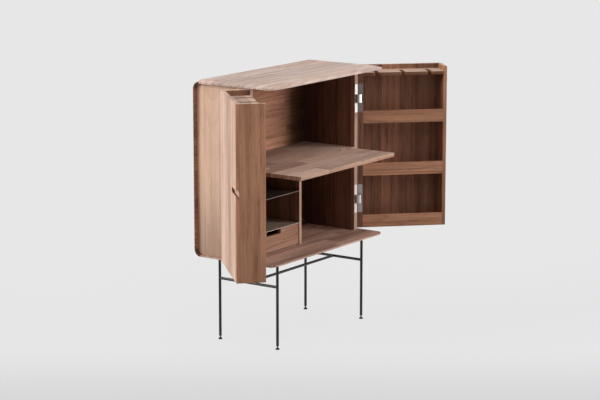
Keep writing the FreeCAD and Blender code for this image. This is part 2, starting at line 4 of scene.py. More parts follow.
import bpy
from mathutils import Matrix, Vector


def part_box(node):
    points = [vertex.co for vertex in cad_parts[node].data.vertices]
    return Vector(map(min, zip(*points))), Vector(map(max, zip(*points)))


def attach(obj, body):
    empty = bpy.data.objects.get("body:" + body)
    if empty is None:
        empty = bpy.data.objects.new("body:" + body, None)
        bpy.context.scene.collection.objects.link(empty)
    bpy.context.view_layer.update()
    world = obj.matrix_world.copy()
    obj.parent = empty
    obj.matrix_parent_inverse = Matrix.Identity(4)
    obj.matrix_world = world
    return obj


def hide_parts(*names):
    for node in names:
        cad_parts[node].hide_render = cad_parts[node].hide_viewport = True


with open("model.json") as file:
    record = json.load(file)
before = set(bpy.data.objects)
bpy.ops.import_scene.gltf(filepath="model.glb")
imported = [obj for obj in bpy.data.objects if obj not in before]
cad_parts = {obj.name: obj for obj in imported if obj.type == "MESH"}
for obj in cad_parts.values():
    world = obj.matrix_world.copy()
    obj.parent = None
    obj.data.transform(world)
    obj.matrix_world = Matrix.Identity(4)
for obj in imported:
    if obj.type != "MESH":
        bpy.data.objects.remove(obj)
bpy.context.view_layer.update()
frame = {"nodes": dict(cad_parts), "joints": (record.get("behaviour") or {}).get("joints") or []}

nodes = frame["nodes"]

MM = 0.001
ALONG_X = (1, 0, 0)
ALONG_Y = (0, 1, 0)
ALONG_Z = (0, 0, 1)
TO_FRONT = (0, -1, 0)
DOWN = (0, 0, -1)
DIAGONAL = math.sqrt(0.5)

# Both doors stand open at rest: the axis of the right one, how far they have swung, and the parts
# of a door's width that run along X and Y
swing = next(joint for joint in frame["joints"] if joint["name"] == "right_door_swing")
HINGE_X, HINGE_Y = swing["pos_m"][:2]
DOOR_OPEN = math.radians(swing["range_deg"][1] - swing["range_deg"][0])
SLANT_X = -math.cos(DOOR_OPEN)
SLANT_Y = math.sin(DOOR_OPEN)
DOORS = (("left", -1), ("right", 1))

# Walnut tones, as pairs of earlywood and latewood. They follow the light and shade of the photograph.
SUNNY = ((0.665, 0.452, 0.333), (0.410, 0.236, 0.158))
ASHEN = ((0.618, 0.476, 0.410), (0.228, 0.124, 0.085))
ROSY = ((0.655, 0.465, 0.371), (0.255, 0.130, 0.082))
MAUVE = ((0.640, 0.406, 0.317), (0.184, 0.085, 0.053))
COCOA = ((0.560, 0.343, 0.246), (0.172, 0.076, 0.043))
AMBER = ((0.509, 0.252, 0.150), (0.135, 0.050, 0.026))
UMBER = ((0.351, 0.175, 0.112), (0.060, 0.0225, 0.0125))
RUSSET = ((0.412, 0.225, 0.157), (0.116, 0.053, 0.032))
# Colour of end grain; on the ends of the shell it also paints shade
END_GRAIN_AND_SHADE = (0.066, 0.028, 0.017, 1)

# Painted shade: a tone may deepen towards one end: the axis, where that starts and ends along it,
# and the share of the tone that is left. The back deepens towards its right end, the right side and
# the shelf towards the back, a door panel towards its top, and the left side and a free wall towards
# the bottom. On the edge of the flap it grows lighter towards its right end instead, as painted light.
BACK_PAINTED_SHADE = ("X", 0.24, 0.43, 0.24)
SIDE_PAINTED_SHADE = ("Y", 0.09, 0.27, 0.36)
SHELF_PAINTED_SHADE = ("Y", 0.0, 0.26, 0.58)
PANEL_PAINTED_SHADE = ("Z", 1.285, 1.305, 0.68)
FLAP_PAINTED_LIGHT = ("X", -0.30, 0.36, 1.75)
LEFT_PAINTED_SHADE = ("Z", 0.95, 0.35, 0.56)
WALL_PAINTED_SHADE = ("Z", 0.95, 0.40, 0.74)

# Boards are glued up from staves: their width, the length of those that are butted end to end, and
# how dark the end faces of the shell are, as end grain and as painted shade. The spread is how much
# staves differ in lightness, and a seed picks the staves of the boards that share it.
STAVE_WIDTH = 95 * MM
LONG_STAVE = 620 * MM
SHELL_ENDS_GRAIN_AND_SHADE = 0.75
SPREAD = 0.42
CALM_SPREAD = 0.16
LIVELY_SPREAD = 0.7
PANEL_SPREAD = {"left": SPREAD, "right": 0.8}
SHELL_SEED = 10.05
LEFT_SIDE_SEED = 5.6
RIGHT_SIDE_SEED = 8.15
DIVIDER_SEED = 11.4
SHELF_SEED = 18.34
DRAWER_FRONT_SEED = 17.3
DRAWER_SIDE_SEED = 19.8
DRAWER_BOTTOM_SEED = 21.2
PANEL_SEED = {"left": 24.4, "right": 37.08}
HINGE_WALL_SEED = 28.6
FREE_WALL_SEED = 32.66
RAIL_SEED = 30.3
DOOR_SHELF_SEED = 33.1
RACK_SEED = 35.8

# Staves: waves of their width per metre and how far these shift a joint, the two edges of a joint's
# line, and the steps that keep boards, lengths and runs of grain from being alike
WIDTH_WAVES = 5.0
WIDTH_SHIFT = 110 * MM
JOINT_LINE = (0.3 * MM, 1.2 * MM)
BOARD_STEP = 7.3
START_STEP = 0.37
LENGTH_STEP = 17.0
RUN_STEP = 11.0

# Growth rings: how far their heart lies beside a stave, how it sways along the stave and how deep
# it lies, each with its waves per metre and the step to the next stave, then the rings per metre
# and how far the fibres fray them
HEART_ASIDE = 1.6 * STAVE_WIDTH
HEART_SWAY = 60 * MM
SWAY_WAVES = 1.3
SWAY_STEP = 5.1
HEART_DEEP = (4 * MM, 120 * MM)
DEEP_WAVES = 1.5
DEEP_STEP = 3.7
DEEP_SEED = 4.0
FEW_RINGS = 34.0
MORE_RINGS = 30.0
RING_FRAY = 0.7
LATEWOOD = ((0.0, 0.06), (0.45, 0.16), (0.78, 0.6), (0.92, 1.0), (1.0, 0.06))

# Layers of the grain: waves per metre along it and across it, detail and roughness, and the levels
# between which a layer sets in
FIBRE = (4.0, 210.0, 3.0, 0.55)
CLOUDS = (3.0, 13.0, 3.0, 0.55)
CLOUD_LEVELS = (0.30, 0.70)
BROAD_STREAKS = (0.7, 26.0, 3.0, 0.6)
BROAD_LEVELS = (0.36, 0.70)
NARROW_STREAKS = (1.3, 95.0, 3.0, 0.6)
NARROW_LEVELS = (0.44, 0.72)
FLECKS = (14.0, 240.0, 2.0, 0.55)
FLECK_LEVELS = (0.55, 0.74)
PORES = (55.0, 1500.0, 1.0, 0.55)
PORE_LEVELS = (0.58, 0.72)

# How far the staves differ in hue, and how squarely a face looks in a direction to count for it
GREEN_CAST = 0.07
BLUE_CAST = 0.14
FACE_TURN = (0.35, 0.65)
END_TURN = (0.80, 0.97)
RIM_TURN = (0.5, 0.9)

# Worn edges: their width on walnut, coat and plating, and how sharp an edge has to be
BOARD_EDGE = 1.5 * MM
COAT_EDGE = 0.8 * MM
PLATE_EDGE = 0.6 * MM
EDGE_SAMPLES = 4
EDGE_TURN = (0.02, 0.25)

# Coats and plating: waves per metre along X, Y and Z, and the levels between which they set in
PEEL = (900.0, 900.0, 900.0)
PATCHES = (14.0, 14.0, 14.0)
PATCH_LEVELS = (0.35, 0.7)
BRUSHED = (60.0, 60.0, 900.0)
GROUND = (800.0, 800.0, 800.0)
SMUDGES = (45.0, 45.0, 45.0)
SMUDGE_LEVELS = (0.4, 0.72)

# Hinges: the painted shade at the ends of a link, where its paler middle sets in, and the heights
# between which the colour of the upper hinges gives way to a share of the painted reflection of the
# lower ones
LINK_END_SHADE = (0.260, 0.230, 0.225, 1)
LINK_MIDDLE = (0.90, 0.96)
LOWER_HINGES = (0.98, 0.88)
LOWER_REFLECTION_SHARE = 0.75

# Screws: radius of the head, radius of the shank and length, then the inset of the tip as a share of
# the shank, the cross recess as shares of the head's radius and, in depth, of its countersink, the
# turn from screw to screw, and distances that count as none
LARGE_SCREW = (4.2 * MM, 2.0 * MM, 24 * MM)
PLATE_SCREW = (4.2 * MM, 2.0 * MM, 16 * MM)
SMALL_SCREW = (3.0 * MM, 1.5 * MM, 14 * MM)
SCREW_SIDES = 24
TIP_INSET = 0.75
CROSS_REACH = 0.62
CROSS_HALF = 0.17
CROSS_DEPTH = 0.55
CROSS_TAPER = 0.72
SMOOTH_BELOW = math.radians(35)
NEXT_TURN = math.radians(37)
HAIR = 0.01 * MM
MERGED = 0.001 * MM

# Camera at the photograph's viewing angle: far off to the front left, looking a little down
CAMERA_PLACE = (-8.5948, -5.9892, 2.7564)
CAMERA_TURN = (78.8468, 0.0, -54.9731)
CAMERA_LENS = 125.2
CAMERA_SENSOR = 36.0

# Studio: a seamless pale floor whose glow darkens a little towards its front left as painted shade, and a
# pale surround
FLOOR_SIZE = 120.0
FLOOR_TONE = (0.38, 0.38, 0.38, 1)
FLOOR_NEAR = (0.75, 0.75, 0.75, 1)
FLOOR_FAR = (0.90, 0.90, 0.90, 1)
FLOOR_WAY = (0.82, 0.57)
FLOOR_TURN = (-1.4, -0.3)
FLOOR_GLOW = 0.80
SKY_TONE = (1.0, 0.985, 0.97, 1)
SKY_FILL = 0.07
PALE_WALL = 0.76

# Soft lamps: the direction that each shines from, its strength and its spread in degrees
LAMPS = (
    ("window_left", (-0.75, 0.56, 0.34), 0.88, 40),
    ("window_front", (0.53, -0.84, 0.13), 0.79, 28),
    ("ceiling_wash", (-0.15, -0.25, 1.0), 0.54, 96),
)


class Socket:
    """One output of a shader node. Sums, differences, products and quotients add Math nodes."""

    def __init__(self, tree, output):
        self.tree = tree
        self.output = output

    def node(self, kind, settings=None, sockets=None, out=0):
        """Adds a node with its settings and the values or links of its sockets."""
        made = self.tree.nodes.new(kind)
        for key, value in (settings or {}).items():
            if key == "stops":
                set_stops(made.color_ramp, value)
            else:
                setattr(made, key, value)
        for key, value in (sockets or {}).items():
            if isinstance(value, Socket):
                self.tree.links.new(value.output, made.inputs[key])
            else:
                made.inputs[key].default_value = value
        return Socket(self.tree, made.outputs[out])

    def maths(self, operation, *values):
        return self.node("ShaderNodeMath", {"operation": operation}, dict(enumerate(values)))

    def __add__(self, other):
        return self.maths("ADD", self, other)

    def __radd__(self, other):
        return self.maths("ADD", other, self)

    def __sub__(self, other):
        return self.maths("SUBTRACT", self, other)

    def __rsub__(self, other):
        return self.maths("SUBTRACT", other, self)

    def __mul__(self, other):
        return self.maths("MULTIPLY", self, other)

    def __rmul__(self, other):
        return self.maths("MULTIPLY", other, self)

    def __truediv__(self, other):
        return self.maths("DIVIDE", self, other)

    def __rtruediv__(self, other):
        return self.maths("DIVIDE", other, self)

    def __abs__(self):
        return self.maths("ABSOLUTE", self)

    def whole(self):
        return self.maths("FLOOR", self)

    def root(self):
        return self.maths("SQRT", self)

    def between(self, low, high):
        """0 at 'low', 1 at 'high' and a smooth step between them."""
        return self.node(
            "ShaderNodeMapRange",
            {"interpolation_type": "SMOOTHSTEP"},
            {"Value": self, "From Min": low, "From Max": high},
        )

    def mix(self, first, second):
        return self.node("ShaderNodeMix", {"data_type": "RGBA"}, {0: self, 6: first, 7: second}, 2)

    def split(self):
        return [self.node("ShaderNodeSeparateXYZ", None, {0: self}, axis) for axis in "XYZ"]

    def dot(self, other):
        return self.node("ShaderNodeVectorMath", {"operation": "DOT_PRODUCT"}, {0: self, 1: other}, "Value")

    def noise(self, x, y, z, detail, roughness=0.55):
        place = self.node("ShaderNodeCombineXYZ", None, {0: x, 1: y, 2: z})
        values = {"Vector": place, "Scale": 1.0, "Detail": detail, "Roughness": roughness}
        return self.node("ShaderNodeTexNoise", None, values)

    def speckle(self, waves, detail):
        x, y, z = self.split()
        return self.noise(x * waves[0], y * waves[1], z * waves[2], detail)

    def chance(self, out):
        return self.node("ShaderNodeTexWhiteNoise", {"noise_dimensions": "1D"}, {"W": self}, out)

    def bump(self, strength, distance):
        values = {"Strength": strength, "Distance": distance, "Height": self}
        return self.node("ShaderNodeBump", None, values)


def set_stops(ramp, stops):
    while len(ramp.elements) < len(stops):
        ramp.elements.new(1.0)
    for element, (place, level) in zip(ramp.elements, stops):
        element.position = place
        element.color = (level, level, level, 1)


def new_finish(name):
    """A material with one Principled shader: returns it, its shader and its Object coordinates."""
    material = bpy.data.materials.new(name)
    material.use_nodes = True
    tree = material.node_tree
    shader = tree.nodes["Principled BSDF"]
    coordinates = tree.nodes.new("ShaderNodeTexCoord")
    return material, shader, Socket(tree, coordinates.outputs["Object"])


def feed(shader, values):
    tree = shader.id_data
    for key, value in values.items():
        if isinstance(value, Socket):
            tree.links.new(value.output, shader.inputs[key])
        else:
            shader.inputs[key].default_value = value


def worn_edges(place, width):
    """1 on a sharp edge and 0 on a flat face."""
    rounded = place.node("ShaderNodeBevel", {"samples": EDGE_SAMPLES}, {"Radius": width})
    flat = place.node("ShaderNodeNewGeometry", None, None, "Normal")
    return (1 - rounded.dot(flat)).between(*EDGE_TURN)


def looking(place):
    """The direction that a face looks in."""
    return place.node("ShaderNodeTexCoord", None, None, "Normal")


def opaque(shade):
    return tuple(shade) + (1,)


def shaded(tone, share):
    return tuple(tuple(c * share for c in shade) for shade in tone)


def staves(run, across, seed, stave_length):
    """Staves of uneven width, and their lengths butted end to end. Returns the place across a stave,
    a mask that is 0 in the joints, the stave's number and three chances of its own."""
    uneven = across.noise(across * WIDTH_WAVES, seed, 0.5, 0.0)
    count = (across + uneven * WIDTH_SHIFT) / STAVE_WIDTH + seed
    row = count.whole()
    local = (count - row - 0.5) * STAVE_WIDTH
    joint = (0.5 * STAVE_WIDTH - abs(local)).between(*JOINT_LINE)
    number = row + seed * BOARD_STEP
    if stave_length:
        piece = run / stave_length + (number + START_STEP).chance("Value")
        number = number + LENGTH_STEP * piece.whole()
    colour = number.chance("Color")
    chances = [colour.node("ShaderNodeSeparateColor", None, {0: colour}, i) for i in range(3)]
    return local, joint, number, chances


def growth_rings(run, local, number, heart, shift, fibre, seed):
    """Latewood of the rings round a heart that lies beside the stave and wanders along it."""
    sway = run.noise(run * SWAY_WAVES, number * SWAY_STEP, seed, 1.0)
    aside = local - (heart - 0.5) * HEART_ASIDE + (sway - 0.5) * HEART_SWAY
    least, more = HEART_DEEP
    deep = least + more * run.noise(run * DEEP_WAVES, number * DEEP_STEP, seed + DEEP_SEED, 0.0)
    reach = (aside * aside + deep * deep).root()
    ring = reach * (FEW_RINGS + MORE_RINGS * shift) + fibre * RING_FRAY
    return ring.node("ShaderNodeValToRGB", {"stops": LATEWOOD}, {0: ring.maths("FRACT", ring)})


def walnut(
    name, lay, along, tone, seed, stave_length=None, dark_ends=0.0, daylit=None, painted_shading=None, spread=SPREAD
):
    """Boards of walnut. 'lay' turns a place on the board into the distance along the grain, across
    the staves and through the board, and 'along' is the direction of the grain. 'dark_ends' is how
    dark the end grain is, and on the shell it also paints the shade at its ends. Faces that look
    towards the light may be 'daylit', with a paler tone that paints the light on them, while the
    other faces keep a deeper tone that paints their shade: the direction that they look in, their
    tone, its painted shade and the spread of their staves."""
    material, shader, place = new_finish(name)
    x, y, z = place.split()
    run, across, depth = lay(x, y, z)
    local, joint, number, (light, heart, shift) = staves(run, across, seed, stave_length)
    run = run + shift * RUN_STEP

    def grain(layer):
        waves_along, waves_across, detail, roughness = layer
        return place.noise(
            run * waves_along, across * waves_across, depth * waves_across, detail, roughness
        )

    fibre = grain(FIBRE)
    late = growth_rings(run, local, number, heart, shift, fibre, seed)
    clouds = grain(CLOUDS).between(*CLOUD_LEVELS)
    broad = grain(BROAD_STREAKS).between(*BROAD_LEVELS)
    narrow = grain(NARROW_STREAKS).between(*NARROW_LEVELS)
    flecks = grain(FLECKS).between(*FLECK_LEVELS)
    pores = grain(PORES).between(*PORE_LEVELS)
    figure = late * 0.24 + broad * 0.28 + narrow * 0.30 + clouds * 0.22 + flecks * 0.40 - 0.12

    def stained(tone, painted_shading, spread):
        stain = figure.mix(*(opaque(shade) for shade in tone))
        # Painted shade along one axis; on the flap's edge it is painted light instead
        if painted_shading:
            axis, start, stop, share = painted_shading
            deep = figure.mix(*(opaque(shade) for shade in shaded(tone, share)))
            stain = {"X": x, "Y": y, "Z": z}[axis].between(start, stop).mix(stain, deep)
        lightness = (1 - spread / 2) + light * spread
        green = lightness * ((1 - GREEN_CAST / 2) + heart * GREEN_CAST)
        blue = lightness * ((1 - BLUE_CAST / 2) + heart * BLUE_CAST)
        cast = place.node("ShaderNodeCombineXYZ", None, {0: lightness, 1: green, 2: blue})
        return place.node("ShaderNodeVectorMath", {"operation": "MULTIPLY"}, {0: stain, 1: cast})

    facing = looking(place)
    colour = stained(tone, painted_shading, spread)
    # Faces towards the light take the paler tone: painted light against the painted shade of the rest
    if daylit:
        towards, *pale = daylit
        colour = facing.dot(towards).between(*FACE_TURN).mix(colour, stained(*pale))
    early_shade, late_shade = tone
    colour = (pores * 0.22 + (1 - joint) * 0.22).mix(colour, opaque(c * 0.6 for c in late_shade))
    # End faces take the colour of end grain; on the shell 'dark_ends' deepens it into painted shade
    end = abs(facing.dot(along)).between(*END_TURN)
    colour = (end * (dark_ends + late * 0.3)).mix(colour, END_GRAIN_AND_SHADE)
    worn = worn_edges(place, BOARD_EDGE)
    colour = (worn * 0.22).mix(colour, opaque(min(1.0, c * 1.2) for c in early_shade))

    relief = late * -0.25 - pores * 0.6 - fibre * 0.15
    feed(shader, {
        "Base Color": colour,
        "Roughness": 0.58 + figure * 0.10 + pores * 0.10 - worn * 0.06,
        "Normal": relief.bump(0.16, 0.4 * MM),
        "Specular IOR Level": 0.08,
    })
    return material


def powder_coat(name, colour, roughness, rim=None):
    """Sprayed coat on steel: a fine peel, paler patches and paler edges. 'rim' is the colour of the
    faces that look to the front or to the back, a paler colour that paints the highlight on them."""
    material, shader, place = new_finish(name)
    peel = place.speckle(PEEL, 2.0)
    patch = place.speckle(PATCHES, 3.0).between(*PATCH_LEVELS)
    worn = worn_edges(place, COAT_EDGE)
    lighter = opaque(min(1.0, c * 1.7 + 0.01) for c in colour[:3])
    tint = (patch * 0.35 + worn * 0.4).mix(colour, lighter)
    if rim:
        # The faces to the front and back take the rim colour: a painted highlight on the edges of a sheet
        tint = abs(looking(place).dot(ALONG_Y)).between(*RIM_TURN).mix(tint, rim)
    feed(shader, {
        "Base Color": tint,
        "Roughness": roughness + patch * 0.10 - worn * 0.08,
        "Normal": peel.bump(0.12, 0.2 * MM),
        "Specular IOR Level": 0.3,
    })
    return material


def plated_steel(name, colour, roughness, brush, metallic=1.0, link=None, painted_lower_reflection=None):
    """Plated metal with brush marks, smudges and bright edges. A 'link' is an arc with painted shade
    towards its ends: its axis, and the direction of its middle. The last argument is a colour for
    the lower hinges that paints how they reflect the light."""
    material, shader, place = new_finish(name)
    x, y, z = place.split()
    marks = place.speckle(brush, 3.0)
    smudge = place.speckle(SMUDGES, 3.0).between(*SMUDGE_LEVELS)
    worn = worn_edges(place, PLATE_EDGE)
    darker = opaque(c * 0.72 for c in colour[:3])
    tint = (marks * 0.35 + smudge * 0.2 - worn * 0.3).mix(colour, darker)
    if link:
        axis, middle = link
        aside = x - axis[0]
        ahead = y - axis[1]
        reach = (aside * aside + ahead * ahead).root()
        near_middle = (aside * middle[0] + ahead * middle[1]) / reach
        # Painted shade towards both ends of a link, away from its paler middle
        tint = near_middle.between(*LINK_MIDDLE).mix(LINK_END_SHADE, tint)
    # The lower hinges take a share of another colour: a painted reflection
    if painted_lower_reflection:
        tint = (LOWER_REFLECTION_SHARE * z.between(*LOWER_HINGES)).mix(tint, painted_lower_reflection)
    feed(shader, {
        "Base Color": tint,
        "Metallic": metallic,
        "Roughness": roughness + marks * 0.12 + smudge * 0.10 - worn * 0.06,
        "Normal": marks.bump(0.08, 0.1 * MM),
    })
    return material


# Ways that the grain lies on the boards. On the shell the staves follow on from the top round the
# back to the bottom.
shell_low, shell_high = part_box("back_panel")
corner_low, corner_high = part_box("top_rear_corner")
corner_y = corner_low.y
corner_r = corner_high.y - corner_low.y
quarter = corner_r * math.pi / 2


def lay_top(x, y, z):
    return x, y, z


def lay_top_corner(x, y, z):
    angle = z.maths("ARCTAN2", y - corner_y, z - shell_high.z)
    return x, corner_y + angle * corner_r, y


def lay_back(x, y, z):
    return x, corner_y + quarter + shell_high.z - z, y


def lay_bottom_corner(x, y, z):
    angle = z.maths("ARCTAN2", shell_low.z - z, y - corner_y)
    return x, corner_y + quarter + shell_high.z - shell_low.z + angle * corner_r, y


def lay_bottom(x, y, z):
    return x, corner_y * 2 + quarter * 2 + shell_high.z - shell_low.z - y, z


def lay_upright(x, y, z):
    return z, y, x


def lay_drawer_front(x, y, z):
    return x, z, y


def lay_drawer_side(x, y, z):
    return y, z, x


def door_lays(side):
    """Lays for the panel, the walls, the level boards and the rails of an open door."""

    def wide(x, y):
        return x * (side * SLANT_X) - y * SLANT_Y

    def deep(x, y):
        return x * (side * SLANT_Y) + y * SLANT_X

    def panel(x, y, z):
        return z, wide(x, y), deep(x, y)

    def wall(x, y, z):
        return z, deep(x, y), wide(x, y)

    def level(x, y, z):
        return wide(x, y), deep(x, y), z

    def rail(x, y, z):
        return wide(x, y), z, deep(x, y)

    return panel, wall, level, rail


def dress(material, *names):
    for name in names:
        node = nodes[name]
        if not node.material_slots:
            node.data.materials.append(material)
        for part in node.material_slots:
            part.material = material


def dress_shell():
    # The tones of the shell are painted light and shade: the corners and the back are deep inside, with
    # paler outer faces that paint the light on them
    dress(walnut("walnut_top", lay_top, ALONG_X, ASHEN, SHELL_SEED, LONG_STAVE), "top_panel")
    outer_top_corner = ((0, DIAGONAL, DIAGONAL), ROSY, None, SPREAD)
    dress(
        walnut(
            "walnut_top_corner", lay_top_corner, ALONG_X, shaded(UMBER, 0.9), SHELL_SEED, LONG_STAVE,
            SHELL_ENDS_GRAIN_AND_SHADE, daylit=outer_top_corner,
        ),
        "top_rear_corner",
    )
    outer_back = (ALONG_Y, COCOA, None, SPREAD)
    dress(
        walnut(
            "walnut_back", lay_back, ALONG_X, shaded(UMBER, 1.58), SHELL_SEED, LONG_STAVE,
            SHELL_ENDS_GRAIN_AND_SHADE, daylit=outer_back, painted_shading=BACK_PAINTED_SHADE,
        ),
        "back_panel",
    )
    outer_bottom_corner = ((0, DIAGONAL, -DIAGONAL), COCOA, None, SPREAD)
    dress(
        walnut(
            "walnut_bottom_corner", lay_bottom_corner, ALONG_X, shaded(UMBER, 0.6), SHELL_SEED, LONG_STAVE,
            SHELL_ENDS_GRAIN_AND_SHADE, daylit=outer_bottom_corner,
        ),
        "bottom_rear_corner",
    )
    dress(walnut("walnut_bottom", lay_bottom, ALONG_X, MAUVE, SHELL_SEED, LONG_STAVE), "bottom_panel")


def dress_inside():
    # Painted light and shade: the sides, divider and flap have deep tones inside and paler ones on the
    # faces that look towards the light
    outer_left = ((-DIAGONAL, -DIAGONAL, 0), shaded(SUNNY, 1.10), LEFT_PAINTED_SHADE, CALM_SPREAD)
    dress(
        walnut("walnut_left_side", lay_upright, ALONG_Z, UMBER, LEFT_SIDE_SEED, daylit=outer_left),
        "left_side_panel",
    )
    outer_right = ((DIAGONAL, -DIAGONAL, 0), shaded(ROSY, 0.66), None, SPREAD)
    dress(
        walnut(
            "walnut_right_side", lay_upright, ALONG_Z, shaded(UMBER, 0.74), RIGHT_SIDE_SEED,
            daylit=outer_right, painted_shading=SIDE_PAINTED_SHADE, spread=LIVELY_SPREAD,
        ),
        "right_side_panel",
    )
    front_edge = (TO_FRONT, COCOA, None, SPREAD)
    dress(
        walnut(
            "walnut_divider", lay_upright, ALONG_Z, shaded(UMBER, 0.75), DIVIDER_SEED, daylit=front_edge
        ),
        "divider",
    )
    dress(
        walnut(
            "walnut_shelf", lay_top, ALONG_X, shaded(ROSY, 1.05), SHELF_SEED, LONG_STAVE, painted_shading=SHELF_PAINTED_SHADE
        ),
        "fixed_shelf",
    )
    flap_top = (ALONG_Z, shaded(ROSY, 1.04), None, SPREAD)
    dress(
        walnut(
            "walnut_flap", lay_top, ALONG_X, shaded(COCOA, 0.82), SHELF_SEED, LONG_STAVE,
            daylit=flap_top, painted_shading=FLAP_PAINTED_LIGHT,
        ),
        "fold_out_shelf",
    )


def dress_drawer():
    dress(
        walnut("walnut_drawer_front", lay_drawer_front, ALONG_X, shaded(RUSSET, 0.97), DRAWER_FRONT_SEED),
        "drawer_front", "drawer_back",
    )
    dress(
        walnut("walnut_drawer_sides", lay_drawer_side, ALONG_Y, COCOA, DRAWER_SIDE_SEED),
        "drawer_sides", "drawer_runners",
    )
    dress(walnut("walnut_drawer_bottom", lay_top, ALONG_X, COCOA, DRAWER_BOTTOM_SEED), "drawer_bottom")


def dress_door(label, side):
    panel, wall, level, rail = door_lays(side)
    width_way = (side * SLANT_X, -SLANT_Y, 0)
    outward = Vector((side * SLANT_Y, SLANT_X, 0))
    up_and_out = (outward + Vector(ALONG_Z)).normalized()
    # Painted light and shade: a door's panel and walls are deep inside with a paler outer face that paints
    # the light on it, and the rack's top is paler than its shaded sides
    outer_face = (up_and_out, shaded(ROSY, 1.14), None, SPREAD)
    door = label + "_door_"
    finish = "walnut_" + door
    dress(
        walnut(
            finish + "panel", panel, ALONG_Z, shaded(UMBER, 1.38), PANEL_SEED[label],
            daylit=outer_face, painted_shading=PANEL_PAINTED_SHADE, spread=PANEL_SPREAD[label],
        ),
        door + "outer_panel",
    )
    dress(
        walnut(
            finish + "wall", wall, ALONG_Z, shaded(AMBER, 0.90), FREE_WALL_SEED,
            daylit=outer_face, painted_shading=WALL_PAINTED_SHADE,
        ),
        door + "free_edge_wall",
    )
    dress(
        walnut(
            finish + "hinge_wall", wall, ALONG_Z, shaded(UMBER, 0.86), HINGE_WALL_SEED, daylit=outer_face
        ),
        door + "hinge_wall",
    )
    dress(walnut(finish + "rail", rail, width_way, shaded(AMBER, 1.27), RAIL_SEED), door + "rails")
    dress(
        walnut(finish + "shelf", level, width_way, AMBER, DOOR_SHELF_SEED),
        door + "bottom_shelf", door + "middle_shelf", door + "upper_shelf",
    )
    rack_top = (ALONG_Z, shaded(ROSY, 0.95), None, SPREAD)
    dress(
        walnut(finish + "rack", level, width_way, shaded(AMBER, 0.5), RACK_SEED, daylit=rack_top),
        door + "glass_rack",
    )


def dress_links(label, side):
    links = label + "_hinge_links"
    axis = (side * HINGE_X, HINGE_Y)
    middle = (-side * math.cos(DOOR_OPEN / 2), -math.sin(DOOR_OPEN / 2))
    # The ends of the links get painted shade, and the lower links a darker painted reflection
    dress(
        plated_steel(
            links, (0.88, 0.86, 0.85, 1), 0.26, BRUSHED,
            link=(axis, middle), painted_lower_reflection=(0.37, 0.335, 0.345, 1),
        ),
        links,
    )


dress_shell()
dress_inside()
dress_drawer()
for label, side in DOORS:
    dress_door(label, side)

black_coat = powder_coat("satin_black_coat", (0.010, 0.0105, 0.0105, 1), 0.30)
# The upper thin shelf's very dark coat paints the shade it lies in, and the paler rims of both thin shelves
# paint the highlight on their front and back edges
shaded_shelf_coat = powder_coat("shaded_shelf_coat", (0.052, 0.029, 0.019, 1), 0.55, (0.28, 0.22, 0.19, 1))
grey_coat = powder_coat("grey_coat", (0.350, 0.255, 0.205, 1), 0.55, (0.60, 0.51, 0.46, 1))
brown_coat = powder_coat("brown_lacquer", (0.38, 0.248, 0.185, 1), 0.5)
# The hinges are one chrome in two copies: the cabinet leaves and their screws take a pale, partly diffuse
# copy that paints the bright reflection they show, and the door leaves and theirs a dark copy that paints
# their darker reflection. Both take a painted reflection on the lower hinges.
painted_bright_plating = plated_steel(
    "painted_bright_chrome", (0.96, 0.96, 0.95, 1), 0.34, BRUSHED, 0.35, painted_lower_reflection=(0.66, 0.56, 0.50, 1)
)
painted_dark_plating = plated_steel(
    "painted_dark_chrome", (0.21, 0.178, 0.165, 1), 0.24, BRUSHED, painted_lower_reflection=(0.38, 0.335, 0.345, 1)
)
bare_steel = plated_steel("screw_steel", (0.40, 0.38, 0.37, 1), 0.26, GROUND)

for corner in ("front_left", "front_right", "rear_left", "rear_right"):
    dress(black_coat, corner + "_leg", corner + "_foot")
dress(black_coat, "left_stretcher", "right_stretcher", "long_stretcher", "leg_plates")
dress(shaded_shelf_coat, "upper_thin_shelf")
dress(grey_coat, "lower_thin_shelf")
dress(painted_bright_plating, "cabinet_hinge_leaves")
for label, side in DOORS:
    dress_links(label, side)
dress(painted_dark_plating, "left_door_hinge_leaves", "right_door_hinge_leaves")
dress(brown_coat, "flap_hinge_shelf_leaves", "flap_hinge_leaves", "flap_hinge_pins")


# Countersunk screws with a cross recess. One is modelled pointing down with its head at the
# origin, and copies of it go where the plain pins are.
def pick_faces(obj, wanted):
    bpy.ops.object.mode_set(mode="OBJECT")
    for item in list(obj.data.vertices) + list(obj.data.edges):
        item.select = False
    for face in obj.data.polygons:
        face.select = wanted(face.center)
    bpy.ops.object.mode_set(mode="EDIT")


def pick_points(obj, wanted):
    bpy.ops.object.mode_set(mode="OBJECT")
    for item in list(obj.data.polygons) + list(obj.data.edges):
        item.select = False
    for point in obj.data.vertices:
        point.select = wanted(point.co)
    bpy.ops.object.mode_set(mode="EDIT")


def cross_screw(head_r, shank_r, length):
    bpy.ops.object.select_all(action="DESELECT")
    bpy.ops.mesh.primitive_cylinder_add(
        vertices=SCREW_SIDES, radius=head_r, depth=length, location=(0, 0, -length / 2)
    )
    screw = bpy.context.object
    bpy.ops.object.transform_apply(location=True, rotation=True, scale=True)
    bpy.ops.object.mode_set(mode="EDIT")
    bpy.ops.mesh.select_mode(type="VERT")
    bpy.ops.mesh.select_all(action="SELECT")
    countersink = head_r - shank_r
    bpy.ops.mesh.bisect(plane_co=(0, 0, -countersink), plane_no=ALONG_Z)
    pick_points(screw, lambda at: at.z < -countersink / 2)
    share = shank_r / head_r
    bpy.ops.transform.resize(value=(share, share, 1))
    bpy.ops.mesh.select_mode(type="FACE")
    pick_faces(screw, lambda at: at.z < -length + HAIR)
    bpy.ops.mesh.inset(thickness=TIP_INSET * shank_r)
    cut_cross(screw, head_r, countersink)
    bpy.ops.object.mode_set(mode="OBJECT")
    bpy.ops.object.shade_smooth_by_angle(angle=SMOOTH_BELOW)
    return screw


